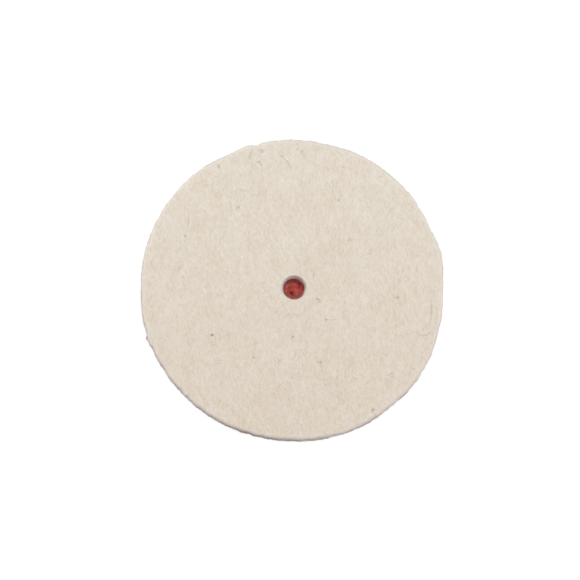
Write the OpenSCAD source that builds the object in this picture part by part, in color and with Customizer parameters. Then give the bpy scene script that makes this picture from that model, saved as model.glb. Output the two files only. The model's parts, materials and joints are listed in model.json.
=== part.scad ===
// Felt polishing disc with a hook-and-loop back.
//
// The disc lies on its back. The origin is where the centre hole's axis meets
// the back face of the loop pile, and +Z points out of the polishing face.
// From the back up: loop pile, backing cloth, bond film, felt pad.
// The hole is punched a little off the outline's centre, through the felt and
// the bond film only, so the backing cloth closes it at the bottom.

/* [Felt pad] */
// Diameter of the disc
disc_d = 150; // [100:1:200]
// Thickness of the felt
felt_t = 8; // [5:0.5:16]
// Radius of the worn corner between the polishing face and the rim
face_round = 1.4; // [0.4:0.1:2.5]
// Radius of the corner between the rim and the bonded face
back_round = 0.4; // [0.1:0.1:1]

/* [Centre hole] */
// Diameter of the punched hole
hole_d = 12; // [6:0.5:25]
// Radius of the softened corner at the hole's mouth
mouth_round = 0.5; // [0.2:0.1:1]
// Place of the outline's centre along X, seen from the hole's axis
outline_x = -0.6; // [-3:0.1:3]
// Place of the outline's centre along Y, seen from the hole's axis
outline_y = -0.5; // [-3:0.1:3]

/* [Backing] */
// Thickness of the adhesive film that bonds the cloth to the felt
bond_t = 0.3; // [0.1:0.05:0.5]
// Thickness of the knitted ground cloth
cloth_t = 0.5; // [0.3:0.1:1.5]
// Height of the brushed loops on the back of the cloth
pile_t = 1.2; // [0.5:0.1:3]
// How far the cloth's edge sits inside the felt's rim
cloth_inset = 0.6; // [0:0.1:2]
// How much further in the brushed loops end
pile_inset = 0.4; // [0:0.1:2]

/* [Hidden] */
$fn = 96;

// Each layer lies on the one below it.
cloth_z = pile_t;
bond_z = cloth_z + cloth_t;
felt_z = bond_z + bond_t;
top_z = felt_z + felt_t;

disc_r = disc_d / 2;
hole_r = hole_d / 2;
cloth_r = disc_r - cloth_inset;
pile_r = cloth_r - pile_inset;

// How far a cutter runs past the face that it cuts.
overcut = 1;

// Moves its children from the hole's axis to the outline's centre.
module on_outline() {
    translate([outline_x, outline_y, 0]) children();
}

// A round layer of the disc, centred on the outline.
module layer(r, z, t) {
    on_outline() translate([0, 0, z]) cylinder(r = r, h = t);
}

// The straight punched hole, from z up past the polishing face.
module punched_hole(z) {
    translate([0, 0, z - overcut])
        cylinder(r = hole_r, h = top_z - z + 2 * overcut);
}

// Half of the felt pad's section: a rectangle whose two outer corners are arcs.
module pad_section() {
    difference() {
        square([disc_r, felt_t]);
        translate([disc_r, felt_t]) corner_waste(face_round);
        translate([disc_r, 0]) mirror([0, 1]) corner_waste(back_round);
    }
}

// What an arc of radius r takes off a corner whose tip is at the origin.
module corner_waste(r) {
    translate([-r, -r])
        difference() {
            square(r + overcut);
            circle(r);
        }
}

// The ring of felt that the softened mouth takes away from the hole's edge.
module mouth_waste() {
    translate([0, 0, top_z])
        rotate_extrude()
            difference() {
                translate([0, -mouth_round]) square([hole_r + mouth_round, mouth_round + overcut]);
                translate([hole_r + mouth_round, -mouth_round]) circle(mouth_round);
            }
}

// The pressed wool pad that does the polishing.
module felt_pad() {
    color([0.88, 0.85, 0.79])
        difference() {
            on_outline() translate([0, 0, felt_z]) rotate_extrude() pad_section();
            punched_hole(felt_z);
            mouth_waste();
        }
}

// The adhesive film, punched together with the felt.
module bond_film() {
    color([0.76, 0.69, 0.60])
        difference() {
            layer(cloth_r, bond_z, bond_t);
            punched_hole(bond_z);
        }
}

// The knitted ground cloth, which is whole across the hole.
module backing_cloth() {
    color([0.60, 0.13, 0.11]) layer(cloth_r, cloth_z, cloth_t);
}

// The brushed loops that a hook-faced backing plate grips.
module loop_pile() {
    color([0.69, 0.18, 0.15]) layer(pile_r, 0, pile_t);
}

felt_pad();
bond_film();
backing_cloth();
loop_pile();
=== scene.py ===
"""A felt polishing disc with a hook-and-loop back, lying on its back on a pale floor.

Shapes are worked out in millimetres and turned into metres where a mesh is made. A place on the
disc is given by rho, the nominal distance from the hole's axis, and theta, the angle about it.
"""

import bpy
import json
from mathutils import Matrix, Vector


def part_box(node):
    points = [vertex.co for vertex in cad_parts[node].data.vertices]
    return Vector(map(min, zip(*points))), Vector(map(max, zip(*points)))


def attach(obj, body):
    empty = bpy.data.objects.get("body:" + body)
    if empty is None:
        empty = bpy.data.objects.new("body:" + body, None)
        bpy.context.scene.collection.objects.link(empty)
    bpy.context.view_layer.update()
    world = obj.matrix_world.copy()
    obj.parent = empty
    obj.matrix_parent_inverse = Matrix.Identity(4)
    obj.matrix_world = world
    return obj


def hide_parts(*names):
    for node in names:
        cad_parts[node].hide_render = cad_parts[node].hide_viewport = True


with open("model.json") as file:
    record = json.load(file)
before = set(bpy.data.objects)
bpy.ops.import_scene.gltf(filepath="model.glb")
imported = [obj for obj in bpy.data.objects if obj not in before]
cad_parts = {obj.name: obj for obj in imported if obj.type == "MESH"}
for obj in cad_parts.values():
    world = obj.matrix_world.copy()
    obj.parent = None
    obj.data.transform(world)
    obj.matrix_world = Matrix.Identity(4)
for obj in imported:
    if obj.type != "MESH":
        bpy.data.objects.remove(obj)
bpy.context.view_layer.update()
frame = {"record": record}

import json
import math
from collections import namedtuple

import bpy
import numpy as np
from mathutils import Matrix, Vector

MM = 0.001


# ---------------------------------------------------------------- sizes, from the CAD frame

def box_mm(node):
    """The lowest and highest corner of a CAD node, in millimetres."""
    low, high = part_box(node)
    return np.array(low) / MM, np.array(high) / MM


def mount(name):
    """One of the record's mounts."""
    return next(m for m in frame["record"]["mounts"] if m["name"] == name)


felt_low, felt_high = box_mm("felt_pad")
bond_low, bond_high = box_mm("bond_film")
cloth_low, cloth_high = box_mm("backing_cloth")
pile_low, pile_high = box_mm("loop_pile")

HOLE_R = mount("centre_hole")["dims"]["r_mm"]
DISC_R = (felt_high[0] - felt_low[0]) / 2
CLOTH_R = (cloth_high[0] - cloth_low[0]) / 2
PILE_R = (pile_high[0] - pile_low[0]) / 2
CENTRE = ((felt_low + felt_high) / 2)[:2]
TOP = felt_high[2]
FELT_Z = felt_low[2]
BOND_Z = bond_low[2]
CLOTH_Z = cloth_low[2]

FACE_ROUND = 1.8            # the worn corner between the face and the rim
MOUTH_ROUND = 0.5           # the softened corner of the hole
BACK_ROUND = 0.4            # the corner between the rim and the bonded face
BORE_R = HOLE_R - 0.3       # the felt has closed in on the hole a little,
FOOT_R = HOLE_R - 0.6       # and more at its foot
ROUND_STEP = 0.33           # the longest step between points round the disc
HIDDEN_STEP = 6             # the step between rings where nothing shows

# The outline was cut by hand. Each cut left a bump or a flat: its place in degrees from +X, how many
# degrees it spreads to each side, and how far it stands out in mm.
RIM_CUTS = [
    (358, 6, -0.95), (14, 3.5, 0.75), (27, 4, -0.4), (40, 4, 0.2), (54, 5, 0.2), (65, 5, 0.25),
    (80, 6, -0.35), (97, 2, -0.2), (104.5, 1.8, -0.55), (109, 1.8, 0.45), (116, 4, -0.6), (129, 4, 0.3),
    (143, 7, 0.4), (161, 5, 0.2), (180, 4, -0.25), (193, 2.5, 0.25), (200.5, 2, 0.5), (213, 5, -0.15),
    (224, 2.5, -0.35), (235, 4, -0.25), (255, 8, -0.45), (269, 3, -0.3), (296, 7, 0.5), (321, 4.5, 0.75),
    (333, 4, 0.35), (344, 3, -0.4),
]
RIM_PROUD = 0.3     # the mean outline stands this far outside the nominal one
RIM_ROUGH = 1.5     # the outline's fine waves stand out by this much over their number round it

# Seeds of the random numbers.
OUTLINE_SEED = 11
FIBRE_SEED = 844
MARK_SEED = 57


# ---------------------------------------------------------------- fields of noise and fibre

PITCH = 0.2         # the grid step of a field


def blurred(grid, sigma):
    """grid, which repeats at its edges, blurred by a Gaussian of sigma mm."""
    fy = np.fft.fftfreq(grid.shape[0], PITCH)[:, None]
    fx = np.fft.rfftfreq(grid.shape[1], PITCH)[None, :]
    soft = np.exp(-2 * (math.pi * sigma) ** 2 * (fx * fx + fy * fy))
    return np.fft.irfft2(np.fft.rfft2(grid) * soft, grid.shape)


def unit(grid):
    """grid with its mean at 0 and its standard deviation at 1."""
    return (grid - grid.mean()) / grid.std()


def blotches(shape, sigma, rng):
    """Soft random lumps about sigma mm across."""
    return unit(blurred(rng.standard_normal(shape), sigma))


def fibres(shape, rng, per_mm2, length, width, heading, spread):
    """The height of fibres that lie over each other.

    length and width are in mm. heading is the fibres' main direction and spread how far they
    stray from it, in degrees.
    """
    rows, columns = shape
    count = int(rows * columns * PITCH * PITCH * per_mm2)
    steps = np.arange(0, length, PITCH)
    turn = np.radians(rng.normal(heading, spread, count))[:, None]
    bend = rng.normal(0, 0.25, count)[:, None]
    turn = turn + bend * steps
    x = rng.uniform(0, columns, count)[:, None] + np.cumsum(np.cos(turn), axis=1)
    y = rng.uniform(0, rows, count)[:, None] + np.cumsum(np.sin(turn), axis=1)
    weight = rng.uniform(0.4, 1.0, count)[:, None]
    weight = weight * (steps < rng.uniform(0.3, 1, count)[:, None] * length)
    cell = (y.astype(int) % rows) * columns + x.astype(int) % columns
    grid = np.bincount(cell.ravel(), weight.ravel(), rows * columns).reshape(shape)
    return unit(blurred(grid, width / 2))


def sampled(grid, x, y):
    """grid read at x and y mm, smoothly between its points; it repeats past its edges."""
    rows, columns = grid.shape
    u, v = np.asarray(x) / PITCH, np.asarray(y) / PITCH
    i, j = np.floor(u).astype(int), np.floor(v).astype(int)
    a, b = u - i, v - j
    i0, i1, j0, j1 = i % columns, (i + 1) % columns, j % rows, (j + 1) % rows
    low = grid[j0, i0] * (1 - a) + grid[j0, i1] * a
    high = grid[j1, i0] * (1 - a) + grid[j1, i1] * a
    return low * (1 - b) + high * b


# ---------------------------------------------------------------- the disc's own coordinates

def outline_offset():
    """The outline's distance from the nominal circle, at each tenth of a degree."""
    degrees = np.arange(0, 360, 0.1)
    cut = np.full(degrees.size, RIM_PROUD)
    for centre, spread, height in RIM_CUTS:
        away = (degrees - centre + 180) % 360 - 180
        cut += height * np.exp(-0.5 * (away / spread) ** 2)
    rough = np.random.default_rng(OUTLINE_SEED)
    for harmonic in range(40, 460, 3):
        cut += RIM_ROUGH / harmonic * np.sin(np.radians(degrees) * harmonic + rough.uniform(0, 2 * math.pi))
    return cut


OFFSET = outline_offset()


def place(rho, theta):
    """x and y of a point of the disc: round about the hole, and as cut at the outline."""
    share = np.clip((rho - HOLE_R) / (DISC_R - HOLE_R), 0, 1)
    cut = np.interp(np.degrees(theta) % 360, np.arange(0, 360, 0.1), OFFSET, period=360)
    out = rho + share * cut
    x = out * np.cos(theta) + share * CENTRE[0]
    y = out * np.sin(theta) + share * CENTRE[1]
    return x, y


# ---------------------------------------------------------------- mesh building

Ring = namedtuple("Ring", "rho z out up finest")
Ring.__doc__ = """One circle of a turned mesh: its rho and z, its normal's outward and upward parts, and
the longest step in mm between its points."""

FIRST_SECTORS = 45


def sectors(ring):
    """How many sectors a ring has: 45, 90, 180 and so on, or 1 on the axis."""
    if ring.rho <= 0:
        return 1
    need = 2 * math.pi * ring.rho / ring.finest
    return FIRST_SECTORS * 2 ** max(0, math.ceil(math.log2(need / FIRST_SECTORS)))


def strip(a_start, a_count, b_start, b_count):
    """The faces between two rings. One may have twice the other's points, or be a single point."""
    a, b = np.arange(a_count), np.arange(b_count)
    if a_count == b_count:
        corners = [a_start + a, b_start + a, b_start + (a + 1) % a_count, a_start + (a + 1) % a_count]
        return [tuple(face) for face in np.transpose(corners).tolist()]
    if a_count == 1:
        corners = [np.full(b_count, a_start), b_start + b, b_start + (b + 1) % b_count]
        return [tuple(face) for face in np.transpose(corners).tolist()]
    if b_count == 2 * a_count:
        here, following = a_start + a, a_start + (a + 1) % a_count
        first, middle, last = b_start + 2 * a, b_start + 2 * a + 1, b_start + (2 * a + 2) % b_count
        corners = [(here, first, middle), (here, middle, following), (following, middle, last)]
        return [tuple(face) for triangle in corners for face in np.transpose(triangle).tolist()]
    return [face[::-1] for face in strip(b_start, b_count, a_start, a_count)]


def turned(rings, relief, closed):
    """Points, faces and relief values of a mesh that is turned about the hole and then cut.

    relief gives each point's height over the smooth surface and its value for the material.
    closed joins the last ring to the first; otherwise both are points on the axis.
    """
    points, values, faces, starts = [], [], [], []
    total = 0
    for ring in rings:
        count = sectors(ring)
        theta = np.arange(count) * 2 * math.pi / count
        x, y = place(ring.rho, theta)
        height, value = relief(ring, theta, x, y)
        x = x + height * ring.out * np.cos(theta)
        y = y + height * ring.out * np.sin(theta)
        z = ring.z + height * ring.up + np.zeros(count)
        points.append(np.column_stack([x, y, z]))
        values.append(value + np.zeros(count))
        starts.append((total, count))
        total += count
    pairs = list(zip(starts, starts[1:]))
    if closed:
        pairs.append((starts[-1], starts[0]))
    for first, second in pairs:
        faces += strip(*first, *second)
    return np.concatenate(points), faces, np.concatenate(values)


def arc(rho, z, radius, start, end, steps, finest):
    """Rings round a corner whose centre is at rho and z, from one angle to another."""
    angles = np.radians(np.linspace(start, end, steps))
    return [Ring(rho + radius * math.cos(a), z + radius * math.sin(a), math.cos(a), math.sin(a), finest)
            for a in angles]


def line(start, end, out, up, step, finest):
    """Rings along a straight stretch between two (rho, z) places, without its ends."""
    count = max(2, round(math.dist(start, end) / step))
    return [Ring(*(np.array(start) + (np.array(end) - start) * k / count), out, up, finest)
            for k in range(1, count)]


def flat_rings(inner, outer, z, up, step, finest):
    """Rings over a flat face, without its ends, closer together where they are small.

    up is 1 for a face that is made from its middle outwards, and -1 for one that faces down, which
    is made from its rim inwards.
    """
    radii = []
    rho = max(inner, 0.2)
    if inner == 0:
        radii.append(rho)
    while rho + min(step, 0.8 * rho) < outer - 0.01:
        rho += min(step, 0.8 * rho)
        radii.append(rho)
    return [Ring(rho, z, 0, up, finest) for rho in radii[::up]]


def make_piece(name, points, faces, material, values=None):
    """A mesh object from points in mm, riding on the disc. The material reads values as "fibre"."""
    mesh = bpy.data.meshes.new(name)
    mesh.from_pydata((np.asarray(points) * MM).tolist(), [], faces)
    mesh.polygons.foreach_set("use_smooth", np.full(len(mesh.polygons), True))
    mesh.materials.append(material)
    if values is not None:
        made = mesh.attributes.new("fibre", "FLOAT", "POINT")
        made.data.foreach_set("value", np.asarray(values, dtype=np.float32))
    mesh.update()
    piece = bpy.data.objects.new(name, mesh)
    bpy.context.scene.collection.objects.link(piece)
    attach(piece, "root")
    return piece


def strands(paths, radius, sides=3):
    """Points and faces of thin tubes along paths, an array of strands, points and coordinates.

    radius is one number, or one for each strand. The tubes thin out towards both ends.
    """
    count, steps, _ = paths.shape
    along = np.gradient(paths, axis=1)
    along /= np.linalg.norm(along, axis=2, keepdims=True) + 1e-12
    across = np.cross(along, [0.31, 0.52, 0.80])
    across /= np.linalg.norm(across, axis=2, keepdims=True) + 1e-12
    other = np.cross(along, across)
    ends = np.linspace(0, 1, steps)
    taper = np.clip(0.25 + 3 * np.minimum(ends, 1 - ends), 0, 1)
    size = np.broadcast_to(np.asarray(radius, dtype=float), (count,))[:, None] * taper[None, :]
    turns = np.arange(sides) * 2 * math.pi / sides
    ring = (across[:, :, None, :] * np.cos(turns)[None, None, :, None]
            + other[:, :, None, :] * np.sin(turns)[None, None, :, None])
    points = paths[:, :, None, :] + ring * size[:, :, None, None]
    index = np.arange(count * steps * sides).reshape(count, steps, sides)
    here, following = index[:, :-1], index[:, 1:]
    corners = [here, np.roll(here, -1, axis=2), np.roll(following, -1, axis=2), following]
    walls = np.stack(corners, axis=-1).reshape(-1, 4).tolist()
    caps = index[:, 0, ::-1].tolist() + index[:, -1].tolist()
    return points.reshape(-1, 3), walls + caps


def make_strands(name, paths, material, radius, tones=None):
    """A piece of strands. tones has a value for each of them, for the material."""
    points, faces = strands(paths, radius)
    values = None if tones is None else np.repeat(tones, len(points) // len(paths))
    return make_piece(name, points, faces, material, values)


# ---------------------------------------------------------------- materials

def add(tree, kind, inputs=None, **settings):
    """A shader node, with its settings, and its inputs set to values or linked to sockets."""
    made = tree.nodes.new("ShaderNode" + kind)
    for key, value in settings.items():
        setattr(made, key, value)
    for key, value in (inputs or {}).items():
        if isinstance(value, bpy.types.NodeSocket):
            tree.links.new(value, made.inputs[key])
        else:
            made.inputs[key].default_value = value
    return made


def ramp(tree, value, stops):
    """A colour ramp over value. stops are (position, colour)."""
    made = add(tree, "ValToRGB", {"Fac": value})
    elements = made.color_ramp.elements
    while len(elements) < len(stops):
        elements.new(0.5)
    for element, (position, colour) in zip(elements, stops):
        element.position = position
        element.color = colour
    return made.outputs["Color"]


def noise(tree, step_mm, detail=2.0, roughness=0.5, turn=0.0, distortion=0.0):
    """Noise whose lumps are step_mm = (x, y, z) across, turned about Z by turn degrees."""
    place_in = add(tree, "TexCoord").outputs["Object"]
    turned_by = add(tree, "Mapping", {"Vector": place_in, "Rotation": (0, 0, math.radians(turn))})
    scale = tuple(1 / (step * MM) for step in step_mm)
    scaled = add(tree, "Mapping", {"Vector": turned_by.outputs["Vector"], "Scale": scale})
    made = add(tree, "TexNoise", {"Vector": scaled.outputs["Vector"], "Scale": 1.0, "Detail": detail,
                                  "Roughness": roughness, "Distortion": distortion})
    return made.outputs["Fac"]


def maths(tree, operation, first, second, third=0.0):
    """The result of a Math node."""
    return add(tree, "Math", {0: first, 1: second, 2: third}, operation=operation).outputs["Value"]


def product(tree, first, second):
    return maths(tree, "MULTIPLY", first, second)


def between(tree, value, start, end):
    """0 where value is start, 1 where it is end, and straight between them."""
    return add(tree, "MapRange", {"Value": value, "From Min": start, "From Max": end}).outputs["Result"]


def mixed(tree, share, first, second, blend="MIX"):
    """The colour first with a share of second."""
    colours = {"Fac": share, "Color1": first, "Color2": second}
    return add(tree, "MixRGB", colours, blend_type=blend).outputs["Color"]


def place_sockets(tree):
    """The shaded point's distance from the hole's axis, its Y and its Z, in metres."""
    place_in = add(tree, "TexCoord").outputs["Object"]
    flat = add(tree, "VectorMath", {0: place_in, 1: (1, 1, 0)}, operation="MULTIPLY").outputs["Vector"]
    out = add(tree, "VectorMath", {0: flat}, operation="LENGTH").outputs["Value"]
    parts = add(tree, "SeparateXYZ", {"Vector": place_in}).outputs
    return out, parts["Y"], parts["Z"]


def new_material(name):
    """A material, its node tree and its Principled shader."""
    material = bpy.data.materials.new(name)
    material.use_nodes = True
    return material, material.node_tree, material.node_tree.nodes["Principled BSDF"]


def bump(tree, shader, height, depth_mm):
    """Small relief that only the light shows."""
    made = add(tree, "Bump", {"Height": height, "Distance": depth_mm * MM, "Strength": 1.0})
    tree.links.new(made.outputs["Normal"], shader.inputs["Normal"])


STREAK_TURN = 10    # how far the wool's streaks lean from +Y


def hole_lint_and_painted_light(tree, colour, out, z):
    """The wool's colour near the hole: red lint clings to the wall, most at its foot, and the mouth is
    worn grey."""
    in_hole = between(tree, out, (BORE_R + 0.7) * MM, (BORE_R + 0.3) * MM)
    below_mouth = between(tree, z, (TOP - 0.2) * MM, (TOP - 1.0) * MM)
    near_foot = between(tree, z, (FELT_Z + 3.5) * MM, (FELT_Z + 0.5) * MM)
    patches = noise(tree, (0.9, 0.9, 0.9), detail=2.0)
    specks = noise(tree, (0.5, 0.5, 0.5), detail=2.0)
    specks = ramp(tree, specks, [(0.45, (0, 0, 0, 1)), (0.6, (1, 1, 1, 1))])
    # Lint and a painted reflection: the wall is painted pink in patches, for the red cloth's light on it,
    # and painted lighter where it lies in shade.
    patchy = maths(tree, "MULTIPLY_ADD", patches, 1.2, 0.35)
    lint_and_reflection = product(tree, product(tree, in_hole, below_mouth), patchy)
    redder = product(tree, product(tree, in_hole, near_foot), specks)
    # Painted shade: the mouth's rounded corner is painted grey, and the wall below it a little.
    painted_mouth_shade = product(tree, in_hole, maths(tree, "MULTIPLY_ADD", below_mouth, -0.75, 0.85))
    pink = (0.88, 0.58, 0.49, 1)
    red = (0.66, 0.15, 0.11, 1)
    grey = (0.35, 0.34, 0.37, 1)
    for share, lint_and_painted_light_tint in ((lint_and_reflection, pink), (redder, red), (painted_mouth_shade, grey)):
        colour = mixed(tree, share, colour, lint_and_painted_light_tint)
    return colour


def rim_dust_and_shade(tree, colour, out):
    """The wool's colour on the rim, which handling has browned in patches."""
    outer = between(tree, out, (DISC_R - 4) * MM, (DISC_R - 3) * MM)
    normal = add(tree, "NewGeometry").outputs["Normal"]
    facing = add(tree, "SeparateXYZ", {"Vector": normal}).outputs["Z"]
    steep = between(tree, facing, 0.5, 0.1)
    # Dust and painted shade: the rim's wall is painted brown in patches.
    patches = noise(tree, (6.0, 6.0, 1.5), detail=3.0, roughness=0.6)
    patchy_dust_and_shade = ramp(tree, patches, [(0.25, (0, 0, 0, 1)), (0.75, (0.65, 0.65, 0.65, 1))])
    brown = (0.36, 0.29, 0.28, 1)
    return mixed(tree, product(tree, product(tree, outer, steep), patchy_dust_and_shade), colour, brown)


def wool_material():
    """Pressed wool: cream fibres over warmer beige gaps, in soft streaks. The face is a shade darker
    towards -Y."""
    material, tree, shader = new_material("pressed_wool")
    out, y, z = place_sockets(tree)
    fibre = add(tree, "Attribute", attribute_name="fibre").outputs["Fac"]
    streaks = noise(tree, (0.65, 2.2, 0.65), detail=3.0, roughness=0.7, turn=-STREAK_TURN, distortion=0.4)
    grain = noise(tree, (0.5, 0.8, 0.5), detail=1.0, turn=-STREAK_TURN)
    clouds = noise(tree, (9, 14, 9), detail=2.0)
    tone = maths(tree, "MULTIPLY_ADD", fibre, 0.08, 0.5)
    for pattern, weight in ((streaks, 1.0), (grain, 0.6), (clouds, 0.2)):
        tone = maths(tree, "ADD", tone, maths(tree, "MULTIPLY_ADD", pattern, weight, -weight / 2))
    beige = (0.576, 0.481, 0.375, 1)
    wool = (0.652, 0.602, 0.527, 1)
    cream = (0.701, 0.674, 0.625, 1)
    colour = ramp(tree, tone, [(0.1, beige), (0.5, wool), (0.9, cream)])
    warm = noise(tree, (1.2, 2.0, 1.2), detail=3.0, turn=-STREAK_TURN)
    warmth = ramp(tree, warm, [(0.3, (1.0, 1.0, 1.0, 1)), (0.7, (1.0, 0.975, 0.925, 1))])
    # Painted shade: the face is painted darker and warmer towards -Y, where less light falls.
    along = between(tree, y, -DISC_R * MM, DISC_R * MM)
    shade = ramp(tree, along, [(0, (0.954, 0.922, 0.909, 1)), (1, (1, 1, 1, 1))])
    for tint in (warmth, shade):
        colour = mixed(tree, 1.0, colour, tint, "MULTIPLY")
    colour = hole_lint_and_painted_light(tree, rim_dust_and_shade(tree, colour, out), out, z)
    tree.links.new(colour, shader.inputs["Base Color"])
    tree.links.new(maths(tree, "MULTIPLY_ADD", streaks, -0.15, 0.98), shader.inputs["Roughness"])
    shader.inputs["Specular IOR Level"].default_value = 0.15
    shader.inputs["Sheen Weight"].default_value = 0.5
    shader.inputs["Sheen Roughness"].default_value = 0.5
    shader.inputs["Sheen Tint"].default_value = (0.95, 0.95, 1.0, 1)
    fine = noise(tree, (0.16, 0.6, 0.16), detail=2.0, roughness=0.6, turn=-STREAK_TURN, distortion=0.6)
    bump(tree, shader, fine, 0.02)
    return material


def yarn_material(name, dark, light, step_mm=0.8):
    """Dyed yarn: two tones of one colour, changing along the fibre."""
    material, tree, shader = new_material(name)
    tone = noise(tree, (step_mm, step_mm, step_mm), detail=3.0, roughness=0.7)
    tree.links.new(ramp(tree, tone, [(0.3, dark), (0.7, light)]), shader.inputs["Base Color"])
    tree.links.new(maths(tree, "MULTIPLY_ADD", tone, -0.2, 0.9), shader.inputs["Roughness"])
    shader.inputs["Specular IOR Level"].default_value = 0.25
    shader.inputs["Sheen Weight"].default_value = 0.15
    shader.inputs["Sheen Roughness"].default_value = 0.5
    bump(tree, shader, noise(tree, (0.12, 0.12, 0.12), detail=1.0), 0.02)
    return material


def adhesive_material():
    """Cured contact adhesive: amber, a little glossy, uneven."""
    material, tree, shader = new_material("cured_adhesive")
    tone = noise(tree, (1.5, 1.5, 0.4), detail=4.0, roughness=0.6)
    amber = ramp(tree, tone, [(0.3, (0.34, 0.24, 0.14, 1)), (0.7, (0.58, 0.47, 0.33, 1))])
    tree.links.new(amber, shader.inputs["Base Color"])
    tree.links.new(maths(tree, "MULTIPLY_ADD", tone, 0.3, 0.25), shader.inputs["Roughness"])
    bump(tree, shader, tone, 0.05)
    return material


WOOL = wool_material()
RED_LOOP = yarn_material("red_loop_yarn", (0.46, 0.045, 0.032, 1), (0.72, 0.16, 0.12, 1))
RED_CLOTH = yarn_material("red_ground_yarn", (0.46, 0.037, 0.025, 1), (0.62, 0.075, 0.053, 1), 0.5)
ADHESIVE = adhesive_material()
RED_LINT = yarn_material("red_lint", (0.56, 0.042, 0.031, 1), (0.95, 0.29, 0.23, 1), 2.0)
# Lint with painted light: a lighter pink than the red lint, for the floor by the hole's wall, where shade
# falls.
PINK_LINT_AND_PAINTED_LIGHT = yarn_material("pink_lint", (0.88, 0.22, 0.17, 1), (0.97, 0.46, 0.38, 1), 1.2)
BROWN_HAIR = yarn_material("brown_hair", (0.36, 0.25, 0.18, 1), (0.48, 0.37, 0.29, 1))
BURR = yarn_material("burr", (0.24, 0.23, 0.25, 1), (0.38, 0.36, 0.39, 1), 0.3)


# ---------------------------------------------------------------- the felt disc

rng = np.random.default_rng(FIBRE_SEED)
FACE_SPAN = 160
face_shape = (round(FACE_SPAN / PITCH),) * 2
STREAK = 90 + STREAK_TURN

face_fine = fibres(face_shape, rng, per_mm2=5, length=3.2, width=0.32, heading=STREAK, spread=30)
face_medium = fibres(face_shape, rng, per_mm2=0.7, length=7, width=0.9, heading=STREAK, spread=28)
face_lumps = blotches(face_shape, 2.5, rng)
face_broad = blotches(face_shape, 13, rng)
FACE_HEIGHT = 0.024 * face_fine + 0.016 * face_medium + 0.03 * face_lumps + 0.09 * face_broad
FACE_TONE = 0.9 * face_fine + 0.4 * face_medium + 0.2 * face_lumps


def over_disc(field, x, y):
    """A square field, with its middle on the hole's axis, read at x and y."""
    half = len(field) * PITCH / 2
    return sampled(field, x + half, y + half)


def round_wall(field, theta, z):
    """A field that closes on itself round a wall, read at theta and z."""
    return sampled(field, theta / (2 * math.pi) * field.shape[1] * PITCH, z)


WALL_SPAN = 16      # the height of a wall's field, more than any wall's


def wall_fields(radius):
    """Height and tone of a cut wall, whose fibres lie in flat layers. The fields close on themselves."""
    shape = (round(WALL_SPAN / PITCH), round(2 * math.pi * radius / PITCH))
    fine = fibres(shape, rng, per_mm2=6, length=2.5, width=0.3, heading=0, spread=16)
    layers = fibres(shape, rng, per_mm2=0.5, length=12, width=0.8, heading=0, spread=5)
    lumps = blotches(shape, 1.8, rng)
    return 0.05 * fine + 0.05 * layers + 0.07 * lumps, 0.7 * fine + 0.7 * layers + 0.3 * lumps


RIM_HEIGHT, RIM_TONE = wall_fields(DISC_R)
BORE_HEIGHT, BORE_TONE = wall_fields(BORE_R)

PAINTED_HIGHLIGHT_WIDTH = 2.8    # how far in from the rim the face is painted paler: a painted highlight on the rounded corner
PAINTED_HIGHLIGHT_STRENGTH = 5.0     # how much paler the painted highlight makes the corner


def felt_relief(ring, theta, x, y):
    """The felt's height over its smooth shape, and its tone. The bonded back face is flat."""
    if ring.up < -0.5:
        return 0.0, 0.0
    near_hole = ring.rho < BORE_R + MOUTH_ROUND + 0.01
    wall_height, wall_tone = (BORE_HEIGHT, BORE_TONE) if near_hole else (RIM_HEIGHT, RIM_TONE)
    face_part = max(ring.up, 0) ** 2
    wall_part = ring.out ** 2
    height = face_part * over_disc(FACE_HEIGHT, x, y) + wall_part * round_wall(wall_height, theta, ring.z)
    tone = face_part * over_disc(FACE_TONE, x, y) + wall_part * round_wall(wall_tone, theta, ring.z)
    # Painted highlight: the face is painted paler towards its rounded corner, for the light that the corner
    # catches.
    lint_and_painted_light_tint = np.clip((ring.rho - DISC_R + PAINTED_HIGHLIGHT_WIDTH) / PAINTED_HIGHLIGHT_WIDTH, 0, 1)
    return height, tone + PAINTED_HIGHLIGHT_STRENGTH * ring.up * lint_and_painted_light_tint ** 2


def felt_rings():
    """The felt's rings: up the hole's wall, out over the face, down the rim and back underneath."""
    step, face_step = 0.25, 0.28
    mouth = BORE_R + MOUTH_ROUND
    edge = DISC_R - FACE_ROUND
    rings = [Ring(FOOT_R, FELT_Z, -1, 0, step)]
    rings += line((FOOT_R, FELT_Z), (BORE_R, TOP - MOUTH_ROUND), -1, 0, step, step)
    rings += arc(mouth, TOP - MOUTH_ROUND, MOUTH_ROUND, 180, 90, 5, step)
    rings += flat_rings(mouth, edge, TOP, 1, face_step, ROUND_STEP)
    rings += arc(edge, TOP - FACE_ROUND, FACE_ROUND, 90, 0, 9, ROUND_STEP)
    rings += line((DISC_R, TOP - FACE_ROUND), (DISC_R, FELT_Z + BACK_ROUND), 1, 0, step, ROUND_STEP)
    rings += arc(DISC_R - BACK_ROUND, FELT_Z + BACK_ROUND, BACK_ROUND, 0, -90, 4, ROUND_STEP)
    rings += flat_rings(FOOT_R, DISC_R - BACK_ROUND, FELT_Z, -1, HIDDEN_STEP, ROUND_STEP)
    return rings


points, faces, values = turned(felt_rings(), felt_relief, closed=True)
felt_disc = make_piece("felt_disc", points, faces, WOOL, values)
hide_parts("felt_pad")


# ---------------------------------------------------------------- adhesive, cloth and loops

def bond_relief(ring, theta, x, y):
    """A little adhesive squeezed out at the rim."""
    return 0.9 * max(ring.out, 0) * round_wall(RIM_HEIGHT, theta, ring.z * 3), 0.0


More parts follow.
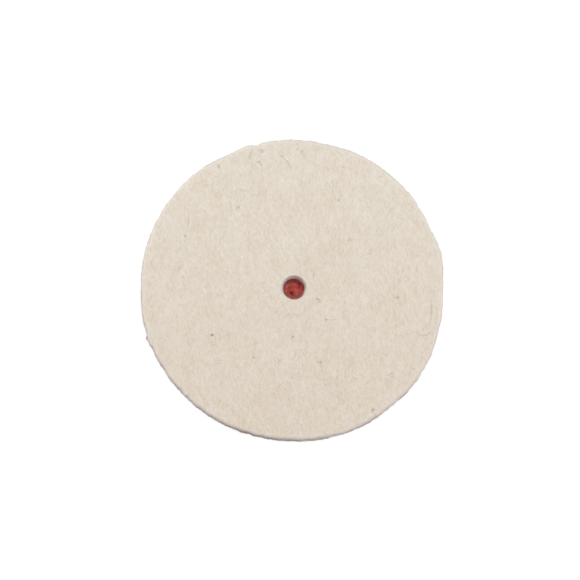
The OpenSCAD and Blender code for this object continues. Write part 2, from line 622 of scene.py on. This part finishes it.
def bond_rings():
    """The film's rings. Its edge bulges a little."""
    bulge = 0.1
    rings = [Ring(FOOT_R, z, -1, 0, ROUND_STEP) for z in (BOND_Z, FELT_Z)]
    rings += flat_rings(FOOT_R, CLOTH_R, FELT_Z, 1, HIDDEN_STEP, ROUND_STEP)
    rings += [Ring(CLOTH_R, FELT_Z, 1, 0, ROUND_STEP),
              Ring(CLOTH_R + bulge, (FELT_Z + BOND_Z) / 2, 1, 0, ROUND_STEP),
              Ring(CLOTH_R, BOND_Z, 1, 0, ROUND_STEP)]
    rings += flat_rings(FOOT_R, CLOTH_R, BOND_Z, -1, HIDDEN_STEP, ROUND_STEP)
    return rings


points, faces, values = turned(bond_rings(), bond_relief, closed=True)
glue_film = make_piece("glue_film", points, faces, ADHESIVE, values)
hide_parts("bond_film")


# Dents in the cloth at the bottom of the hole: x, y, radius and depth in mm.
DENTS = [(-0.5, 4.3, 1.6, 0.3), (2.8, 2.5, 1.4, 0.3), (-0.7, -1.2, 1.4, 0.6), (-0.5, -2.5, 0.9, 0.5),
         (0.7, 2.0, 0.9, -0.6), (1.6, -1.7, 1.2, -0.4), (-3.6, -2.6, 1.6, -0.3), (0.0, -4.6, 1.5, -0.2),
         (-3.4, 1.6, 1.3, -0.3)]
CLOTH_SPAN = 16     # wider than the hole
CLOTH_LUMPS = blotches((round(CLOTH_SPAN / PITCH),) * 2, 0.6, rng)


def cloth_height(x, y):
    """The cloth's height over its flat face where the hole leaves it free."""
    free = np.clip(FOOT_R - 0.1 - np.hypot(x, y), 0, 1)
    height = 0.10 * over_disc(CLOTH_LUMPS, x, y)
    for dent_x, dent_y, radius, depth in DENTS:
        height = height - depth * np.exp(-((x - dent_x) ** 2 + (y - dent_y) ** 2) / radius ** 2)
    return free * height


def cloth_relief(ring, theta, x, y):
    """The cloth is dented in the hole and frayed at its edge."""
    if ring.up > 0.5:
        return cloth_height(x, y), 0.0
    return 1.2 * ring.out * round_wall(RIM_HEIGHT, theta, ring.z * 2 + 3), 0.0


def slab_rings(radius, low, high, upper, lower):
    """A disc with soft edges. upper and lower are its two faces' rings."""
    soft = (high - low) * 0.35
    rings = [Ring(0, high, 0, 1, 1)] + upper
    rings += arc(radius - soft, high - soft, soft, 90, 0, 4, ROUND_STEP)
    rings += arc(radius - soft, low + soft, soft, 0, -90, 4, ROUND_STEP)
    return rings + lower + [Ring(0, low, 0, -1, 1)]


def cloth_rings():
    """The cloth is fine only where the hole shows it."""
    fine_to = HOLE_R + 1
    fine_step = 0.2
    inner = CLOTH_R - 0.3
    upper = flat_rings(0, fine_to, BOND_Z, 1, fine_step, fine_step)
    upper += flat_rings(fine_to, inner, BOND_Z, 1, HIDDEN_STEP, ROUND_STEP)
    lower = flat_rings(0, inner, CLOTH_Z, -1, HIDDEN_STEP, ROUND_STEP)
    return slab_rings(CLOTH_R, CLOTH_Z, BOND_Z, upper, lower)


points, faces, values = turned(cloth_rings(), cloth_relief, closed=False)
ground_cloth = make_piece("ground_cloth", points, faces, RED_CLOTH, values)
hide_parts("backing_cloth")


MAT_LOW = 0.35      # the loops' matted layer starts this far above the floor
mat_fibres = fibres(face_shape, rng, per_mm2=1.2, length=2.5, width=0.35, heading=0, spread=90)
MAT_HEIGHT = np.minimum(0.07 * mat_fibres + 0.06 * blotches(face_shape, 0.9, rng), MAT_LOW - 0.05)


def mat_relief(ring, theta, x, y):
    """The mat is matted below and flat where it meets the cloth."""
    if ring.up > 0.5:
        return 0.0, 0.0
    return over_disc(MAT_HEIGHT, x, y), 0.0


def mat_rings():
    """The mat is fine on its lower face, which is the one that shows."""
    fine_step = 0.5
    inner = PILE_R - 0.5
    upper = flat_rings(0, inner, CLOTH_Z, 1, HIDDEN_STEP, ROUND_STEP)
    lower = flat_rings(0, inner, MAT_LOW, -1, fine_step, fine_step)
    return slab_rings(PILE_R, MAT_LOW, CLOTH_Z, upper, lower)


points, faces, values = turned(mat_rings(), mat_relief, closed=False)
loop_mat = make_piece("loop_mat", points, faces, RED_LOOP, values)
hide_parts("loop_pile")


def back_loops():
    """Brushed loops in rows on the back, each an arch that hangs from the mat and leans its own way."""
    wale, course = 1.9, 1.5
    hung_from = 0.75
    across = np.arange(-PILE_R, PILE_R, wale)
    along = np.arange(-PILE_R, PILE_R, course)
    x, y = [axis.ravel() for axis in np.meshgrid(across, along)]
    x = x + rng.normal(0, 0.3, x.size)
    y = y + rng.normal(0, 0.3, y.size)
    inside = np.hypot(x, y) < PILE_R - 1.0
    x, y = x[inside] + CENTRE[0], y[inside] + CENTRE[1]
    count = x.size
    heading = rng.uniform(0, 2 * math.pi, count)
    span = rng.uniform(0.9, 2.0, count)
    bow = rng.normal(0, 0.5, count)
    drop = rng.uniform(0.3, 0.62, count)
    t = np.linspace(0, 1, 8)
    arch = np.sin(math.pi * t)
    forward = (t - 0.5) * span[:, None]
    sideways = arch * bow[:, None]
    cos, sin = np.cos(heading)[:, None], np.sin(heading)[:, None]
    return np.stack([x[:, None] + forward * cos - sideways * sin,
                     y[:, None] + forward * sin + sideways * cos,
                     hung_from - drop[:, None] * arch ** 0.7], axis=-1)


make_strands("back_loops", back_loops(), RED_LOOP, radius=0.1)


# ---------------------------------------------------------------- loose fibres

ROOT_DEPTH = 0.08   # how far below the surface a hair starts
SETTLE = 0.12       # how much of its lift a hair loses at each step


def hairs(roots, up, along, length, lift, curl, steps=6):
    """Curved paths from roots. Each starts along one direction, lifted towards up by lift degrees,
    bends sideways by curl radians per mm, and settles a little as it goes."""
    lift = np.radians(np.broadcast_to(lift, length.shape))[:, None]
    side = np.cross(up, along)
    forward = along * np.cos(lift) + up * np.sin(lift)
    paths = [roots - up * ROOT_DEPTH]
    step = (length / (steps - 1))[:, None]
    for _ in range(steps - 1):
        paths.append(paths[-1] + forward * step)
        forward = forward + side * curl[:, None] * step - up * np.sin(lift) * SETTLE
        forward /= np.linalg.norm(forward, axis=1, keepdims=True)
    return np.stack(paths, axis=1)


def face_hairs(count, lengths, curl, lift, steps=6):
    """Hairs all over the face, most of them along its streaks, either way. Those that would reach the
    hole or the worn corner are left out."""
    rho = np.sqrt(rng.uniform((HOLE_R + 0.3) ** 2, (DISC_R - 0.8) ** 2, count))
    theta = rng.uniform(0, 2 * math.pi, count)
    x, y = place(rho, theta)
    z = TOP + over_disc(FACE_HEIGHT, x, y)
    heading = np.radians(rng.normal(STREAK, 35, count)) + math.pi * rng.integers(0, 2, count)
    along = np.column_stack([np.cos(heading), np.sin(heading), np.zeros(count)])
    up = np.tile([0.0, 0.0, 1.0], (count, 1))
    paths = hairs(np.column_stack([x, y, z]), up, along, rng.uniform(*lengths, count), lift,
                  rng.normal(0, curl, count), steps)
    from_hole = np.hypot(paths[..., 0], paths[..., 1]).min(axis=1)
    from_centre = np.hypot(paths[..., 0] - CENTRE[0], paths[..., 1] - CENTRE[1]).max(axis=1)
    return paths[(from_hole > HOLE_R + 0.6) & (from_centre < DISC_R - FACE_ROUND)]


def out_and_round(theta):
    """Unit vectors that point away from the axis, and round it, at theta."""
    cos, sin, none = np.cos(theta), np.sin(theta), np.zeros(theta.size)
    return np.column_stack([cos, sin, none]), np.column_stack([-sin, cos, none])


def wall_fuzz(foot, head, outward, low, high, count, lengths):
    """Wool hairs on a cut wall, from its radius at its foot to that at its head.

    outward is 1 on the rim and -1 in the hole.
    """
    theta = rng.uniform(0, 2 * math.pi, count)
    z = rng.uniform(low, high, count)
    x, y = place(np.interp(z, [FELT_Z, TOP], [foot, head]), theta)
    out, tangent = out_and_round(theta)
    slope = np.radians(rng.normal(0, 25, count))[:, None]
    way = rng.choice([-1, 1], count)[:, None]
    along = way * tangent * np.cos(slope) + np.array([0, 0, 1.0]) * np.sin(slope)
    lift = np.abs(rng.normal(10, 22, count))
    return hairs(np.column_stack([x, y, z]), out * outward, along, rng.uniform(*lengths, count), lift,
                 rng.normal(0, 0.6, count), steps=5)


HAIR_R = 0.022
FUZZ = 6000
fuzz = face_hairs(FUZZ, lengths=(0.8, 2.6), curl=0.35, lift=np.abs(rng.normal(2, 14, FUZZ)))
make_strands("face_fuzz", fuzz, WOOL, radius=HAIR_R)

# Flat locks of wool pressed into the face, some paler and some darker than the rest.
LOCK_DEPTH = 0.03
locks = face_hairs(4200, lengths=(2.0, 6.0), curl=0.2, lift=0)
locks[..., 2] -= LOCK_DEPTH
make_strands("face_locks", locks, WOOL, radius=0.075, tones=rng.normal(0.8, 4.0, len(locks)))

browns = face_hairs(110, lengths=(1.5, 6.0), curl=0.45, lift=0)
make_strands("brown_hairs", browns, BROWN_HAIR, radius=0.05)

rim_hairs = wall_fuzz(DISC_R, DISC_R, 1, low=FELT_Z + 0.3, high=TOP - 0.4, count=6000, lengths=(0.5, 1.8))
make_strands("rim_fuzz", rim_hairs, WOOL, radius=HAIR_R)

bore_hairs = wall_fuzz(FOOT_R, BORE_R, -1, low=FELT_Z + 0.3, high=TOP - 0.2, count=500, lengths=(0.3, 1.1))
make_strands("hole_fuzz", bore_hairs, WOOL, radius=HAIR_R)


def wandering(x, y, heading, length, bend, steps):
    """Level paths, as x and y, that set out along heading and turn by bend radians per mm."""
    path = [np.column_stack([x, y])]
    for _ in range(steps - 1):
        stride = np.column_stack([np.cos(heading), np.sin(heading)]) * (length / (steps - 1))[:, None]
        path.append(path[-1] + stride)
        heading = heading + bend * length / (steps - 1)
    return np.stack(path, axis=1)


def curly(x, y, z, count, lengths, bend, rise, steps=9):
    """Tangled fibres that start at x, y and z and wander level, rising by up to rise."""
    heading = rng.uniform(0, 2 * math.pi, count)
    turn = rng.normal(0, bend, count)
    length = rng.uniform(*lengths, count)
    flat = wandering(x, y, heading, length, turn, steps)
    lift = (rng.uniform(0.2, 1, count) * rise)[:, None] * np.sin(np.linspace(0, 1, steps) * math.pi)
    return np.concatenate([flat, (z[:, None] + lift)[..., None]], axis=2)


def kept_in_hole(paths, clearance):
    """Paths on the cloth in the hole, pulled in where they would pass through the wall."""
    out = np.hypot(paths[..., 0], paths[..., 1])
    limit = FOOT_R - clearance
    shrink = np.where(out > limit, limit / np.maximum(out, 1e-6), 1.0)
    paths[..., 0] *= shrink
    paths[..., 1] *= shrink
    paths[..., 2] += cloth_height(paths[..., 0], paths[..., 1])
    return paths


def near_wall(x, y):
    """0 over most of the hole, rising to 1 at the foot of its wall."""
    return (np.hypot(x, y) / FOOT_R) ** 6


def hole_tangle(count, lengths, bend, rise, base, inner=0.0):
    """Brushed red fibres on the cloth in the hole, from inner to 1 of its radius, thin where it is
    dented. They climb the wall a little."""
    rho = (FOOT_R - 0.1) * np.sqrt(rng.uniform(inner ** 2, 1, count))
    theta = rng.uniform(0, 2 * math.pi, count)
    x, y = rho * np.cos(theta), rho * np.sin(theta)
    kept = cloth_height(x, y) > rng.uniform(-0.3, 0.0, count)
    x, y = x[kept], y[kept]
    z = np.full(x.size, BOND_Z + base)
    climb = rise * (1 + 3 * near_wall(x, y))
    return kept_in_hole(curly(x, y, z, x.size, lengths, bend, climb), clearance=0.08)


tangle = hole_tangle(1800, lengths=(0.8, 2.4), bend=1.1, rise=0.45, base=0.02)
make_strands("hole_tangle", tangle, RED_LINT, radius=0.055)

# Lint, and painted light: fibres by the wall's foot in a lighter pink, which lighten the floor where the
# wall's shade falls.
wall_lint = hole_tangle(560, lengths=(0.6, 1.8), bend=1.1, rise=0.7, base=0.05, inner=0.76)
make_strands("wall_lint", wall_lint, PINK_LINT_AND_PAINTED_LIGHT, radius=0.05)

# Places where wool has caught on the red cloth in the hole, in mm.
CAUGHT_WOOL = [(-3.4, 3.4), (-2.7, 2.9), (-2.3, 4.0), (1.3, -2.4), (2.0, -2.2), (-4.7, -1.6),
               (2.4, 4.5), (-0.4, 5.1)]
FIBRES_EACH = 12
caught = np.repeat(CAUGHT_WOOL, FIBRES_EACH, axis=0)
caught = caught + rng.normal(0, 0.3, caught.shape)
x, y = caught.T
level = BOND_Z + 0.5 + 0.9 * near_wall(x, y)
paths = curly(x, y, level, len(caught), lengths=(0.6, 1.6), bend=1.5, rise=0.15)
make_strands("caught_wool", kept_in_hole(paths, clearance=0.15), BROWN_HAIR, radius=0.05)


def edge_fringe(count):
    """Cut yarn ends round the cloth's edge. They stay off the floor."""
    lowest = 0.06
    theta = rng.uniform(0, 2 * math.pi, count)
    x, y = place(CLOTH_R - 0.25, theta)
    z = rng.uniform(0.3, BOND_Z - 0.1, count)
    out, tangent = out_and_round(theta)
    along = tangent * rng.choice([-1, 1], count)[:, None]
    paths = hairs(np.column_stack([x, y, z]), out, along, rng.uniform(0.3, 0.9, count),
                  rng.uniform(20, 85, count), rng.normal(0, 0.8, count), steps=5)
    paths[..., 2] = np.maximum(paths[..., 2], lowest)
    return paths


make_strands("edge_fringe", edge_fringe(2500), RED_LOOP, radius=0.035)


def rim_wisp(degrees, count):
    """A few red yarns pulled out at the rim, which lie along it."""
    root_z = 1.3
    theta = np.radians(degrees + rng.uniform(-0.6, 0.3, count))
    t = np.linspace(0, 1, 9)
    reach = rng.uniform(1.2, 2.2, count)[:, None]
    around = theta[:, None] + np.radians(reach * t)
    out = CLOTH_R - 0.2 + np.minimum(t * 3, 1) * rng.uniform(1.1, 1.6, count)[:, None]
    x, y = place(out, around)
    z = root_z + rng.uniform(0.2, 1.6, count)[:, None] * np.sin(t * math.pi / 2)
    return np.stack([x, y, z], axis=-1)


make_strands("rim_wisp", rim_wisp(degrees=197.6, count=9), RED_LOOP, radius=0.06)


# The marks have their own random numbers, so that they stay as they are when something above changes.
rng = np.random.default_rng(MARK_SEED)

# Brown hairs on the face: x, y, heading in degrees, length in mm and bend in radians per mm.
HAIRS = [
    (60.2, -20.8, -72, 10.5, 0.26), (14.3, -15.2, -22, 8.0, 0.10), (38.6, -61.0, -62, 5.0, 0.1),
    (-19.8, 70.0, -135, 6.5, 0.12), (-36.0, 6.6, -54, 4.7, 0.05), (45.0, -42.7, -30, 5.0, 0.1),
    (-52.5, 38.3, -80, 10.5, -0.06), (4.5, -12.5, 60, 4.0, 0.1), (-6.7, 65.8, -25, 10.5, -0.12),
    (-16.9, 69.5, 20, 4.0, -1.1), (-17.3, 63.2, -70, 3.5, 0.1), (-13.4, 33.0, -45, 2.5, 0.1),
    (68.0, -6.0, -88, 14.0, -0.02),
]


def pressed_hairs():
    """The brown hairs, partly sunk in the face, which they follow."""
    x, y, degrees, length, bend = np.array(HAIRS).T
    middle = 0.03
    flat = wandering(x, y, np.radians(degrees), length, bend, steps=14)
    z = TOP + middle + over_disc(FACE_HEIGHT, flat[..., 0], flat[..., 1])
    return np.concatenate([flat, z[..., None]], axis=2)


make_strands("pressed_hairs", pressed_hairs(), BROWN_HAIR, radius=0.085)

# Bits caught in the felt: x, y, size in mm, and how many fibres each has.
BURRS = [(-27.9, 40.1, 0.8, 13), (-40.4, -23.8, 0.4, 26), (-0.5, -24.7, 0.5, 16), (22.2, 43.8, 0.7, 13),
         (-44.6, -23.7, 0.3, 4), (-1.5, -44.7, 0.4, 7)]
BROWN_BITS = [
    (-40.4, -23.8, 0.45, 44), (-16.5, 68.5, 0.7, 8), (-17.5, 63, 0.6, 10), (12, -5.7, 1.0, 12),
    (16, -16, 0.8, 9), (-20, -34, 0.8, 12), (9.5, 7, 0.5, 8), (47.5, -43, 0.9, 8), (13, -37, 0.9, 10),
    (27.5, 24, 0.8, 9), (39, -59.5, 0.9, 10), (-57, 9.5, 0.8, 9), (51, -5, 0.8, 9), (-7, -36, 0.9, 8),
    (-37, 60.5, 0.9, 9), (-22, 66.5, 0.8, 5), (-6, 66, 0.7, 7),
]


def scattered_bits(count):
    """Small brown bits all over the face."""
    rho = np.sqrt(rng.uniform((HOLE_R + 3) ** 2, (DISC_R - 3) ** 2, count))
    theta = rng.uniform(0, 2 * math.pi, count)
    size = rng.uniform(0.5, 1.1, count)
    return [(r * math.cos(a), r * math.sin(a), s, int(n))
            for r, a, s, n in zip(rho, theta, size, rng.integers(2, 6, count))]


def knots(bits):
    """Each bit is a knot of short fibres, sunk a little in the face."""
    sunk = 0.02
    clumps = []
    for x, y, size, count in bits:
        z = TOP + over_disc(FACE_HEIGHT, x, y) - sunk
        spot = rng.normal(0, size * 0.4, (count, 2))
        clumps.append(curly(x + spot[:, 0], y + spot[:, 1], np.full(count, z), count,
                            lengths=(size * 0.8, size * 2.2), bend=1.8, rise=0.10))
    return np.concatenate(clumps)


BIT_R = 0.045
make_strands("burrs", knots(BURRS), BURR, radius=BIT_R)
make_strands("brown_bits", knots(BROWN_BITS + scattered_bits(50)), BROWN_HAIR, radius=BIT_R)

# Long pale hairs that follow the face.
PALE_TONE = 7.0
PALE_MIDDLE = 0.01
pales = face_hairs(420, lengths=(5.0, 16.0), curl=0.14, lift=0, steps=14)
pales[..., 2] = TOP + PALE_MIDDLE + over_disc(FACE_HEIGHT, pales[..., 0], pales[..., 1])
make_strands("pale_hairs", pales, WOOL, radius=0.06, tones=np.full(len(pales), PALE_TONE))


# ---------------------------------------------------------------- floor, light and camera

def direction(tilt, bearing):
    """A unit vector tilt degrees off +Z, leaning towards bearing degrees from +X."""
    tilt, bearing = math.radians(tilt), math.radians(bearing)
    return Vector((math.sin(tilt) * math.cos(bearing), math.sin(tilt) * math.sin(bearing), math.cos(tilt)))


def looking(place_at, towards, up):
    """The matrix of an object at place_at whose -Z points along towards, with up upwards in its view."""
    back = -towards.normalized()
    right = up.cross(back).normalized()
    turn = Matrix((right, back.cross(right), back)).transposed()
    return Matrix.Translation(place_at) @ turn.to_4x4()


FLOOR_R = 2.5       # where the floor starts to curve up into the backdrop
SWEEP_R = 1.5
SWEEP_TOP = 4.0
BOUNCE_HALF = 2.0


def stage_piece(name, points, faces, colour, emission):
    """Part of the studio: a plain matt sheet, whose colour drifts a little."""
    mesh = bpy.data.meshes.new(name)
    mesh.from_pydata(points, [], faces)
    sheet = bpy.data.objects.new(name, mesh)
    bpy.context.scene.collection.objects.link(sheet)
    material, tree, shader = new_material(name)
    drift = noise(tree, (60, 60, 60))
    darker = tuple(0.97 * part for part in colour[:3]) + (1,)
    tree.links.new(ramp(tree, drift, [(0.3, darker), (0.7, colour)]), shader.inputs["Base Color"])
    shader.inputs["Roughness"].default_value = 0.9
    shader.inputs["Specular IOR Level"].default_value = 0.0
    shader.inputs["Emission Color"].default_value = (1, 1, 1, 1)
    shader.inputs["Emission Strength"].default_value = emission
    mesh.materials.append(material)
    return sheet


def sweep_mesh():
    """A round floor that curves up into a backdrop on every side."""
    profile = [(FLOOR_R * share, 0.0) for share in (0.02, 0.1, 0.4, 1.0)]
    for degrees in range(10, 91, 10):
        angle = math.radians(degrees)
        profile.append((FLOOR_R + SWEEP_R * math.sin(angle), SWEEP_R * (1 - math.cos(angle))))
    profile.append((FLOOR_R + SWEEP_R, SWEEP_TOP))
    count = 64
    points = [(0.0, 0.0, 0.0)]
    for out, z in profile:
        for k in range(count):
            angle = 2 * math.pi * k / count
            points.append((out * math.cos(angle), out * math.sin(angle), z))
    faces = strip(0, 1, 1, count)
    for ring in range(len(profile) - 1):
        faces += strip(1 + ring * count, count, 1 + (ring + 1) * count, count)
    return points, faces


# The backdrop glows like a light table, so that it shows near white, and lets light through. The sheet
# under it is what throws light back at the disc.
sweep = stage_piece("floor", *sweep_mesh(), (0.16, 0.16, 0.16, 1), 0.93)
for polygon in sweep.data.polygons:
    polygon.use_smooth = True
sweep.visible_diffuse = False
sweep.visible_glossy = False
sweep.visible_shadow = False
under = [(x * BOUNCE_HALF, y * BOUNCE_HALF, -0.1 * MM) for x, y in ((-1, -1), (1, -1), (1, 1), (-1, 1))]
bounce = stage_piece("bounce_sheet", under, [(0, 1, 2, 3)], (0.30, 0.22, 0.28, 1), 0.0)
bounce.visible_camera = False

AIM = Vector((-2.03, -1.18, TOP)) * MM      # the point of the face in the middle of the view
CAMERA_DISTANCE = 1.25
CAMERA_TILT, CAMERA_BEARING = 8, 259
VIEW_WIDTH = 0.2868                         # what the frame spans at the disc
SENSOR_WIDTH = 36
camera_data = bpy.data.cameras.new("camera")
camera_data.sensor_width = SENSOR_WIDTH
camera_data.lens = SENSOR_WIDTH * CAMERA_DISTANCE / VIEW_WIDTH
camera = bpy.data.objects.new("camera", camera_data)
bpy.context.scene.collection.objects.link(camera)
to_camera = direction(CAMERA_TILT, CAMERA_BEARING)
camera.matrix_world = looking(AIM + to_camera * CAMERA_DISTANCE, -to_camera, Vector((0, 1, 0)))
bpy.context.scene.camera = camera


LIGHT_DISTANCE = 0.9
WARM, NEUTRAL, COOL = (1.0, 0.985, 0.96), (1.0, 0.99, 0.98), (0.98, 0.985, 1.0)


def soft_light(name, size, share, colour, tilt, bearing):
    """A round soft light that faces the disc. share is what it adds to a white sheet that it meets
    square on, where 1 is full white. tilt and bearing are in degrees."""
    data = bpy.data.lights.new(name, "AREA")
    data.shape = "DISK"
    data.size = size
    data.energy = share * (math.pi * LIGHT_DISTANCE) ** 2
    data.color = colour
    light = bpy.data.objects.new(name, data)
    bpy.context.scene.collection.objects.link(light)
    towards = direction(tilt, bearing)
    light.matrix_world = looking(towards * LIGHT_DISTANCE, -towards, Vector((0, 1, 0)))


soft_light("key", size=0.2, share=0.352, colour=WARM, tilt=17, bearing=68)
soft_light("fill", size=0.6, share=0.165, colour=NEUTRAL, tilt=20, bearing=235)
soft_light("left", size=0.5, share=0.465, colour=COOL, tilt=71, bearing=163)
soft_light("right", size=0.5, share=0.45, colour=COOL, tilt=71, bearing=338)

world = bpy.data.worlds.new("studio")
world.use_nodes = True
background = world.node_tree.nodes["Background"]
background.inputs["Color"].default_value = (0.975, 0.985, 1.0, 1)
towards_sky = add(world.node_tree, "TexCoord").outputs["Generated"]
sky_y = add(world.node_tree, "SeparateXYZ", {"Vector": towards_sky}).outputs["Y"]
SKY, SKY_RISE = 0.45, 0.33                  # its strength, and how much brighter it is beyond the disc
strength = maths(world.node_tree, "MULTIPLY_ADD", sky_y, SKY_RISE, SKY)
world.node_tree.links.new(strength, background.inputs["Strength"])
bpy.context.scene.world = world
bpy.context.scene.view_settings.view_transform = "Standard"


# ---------------------------------------------------------------- the end
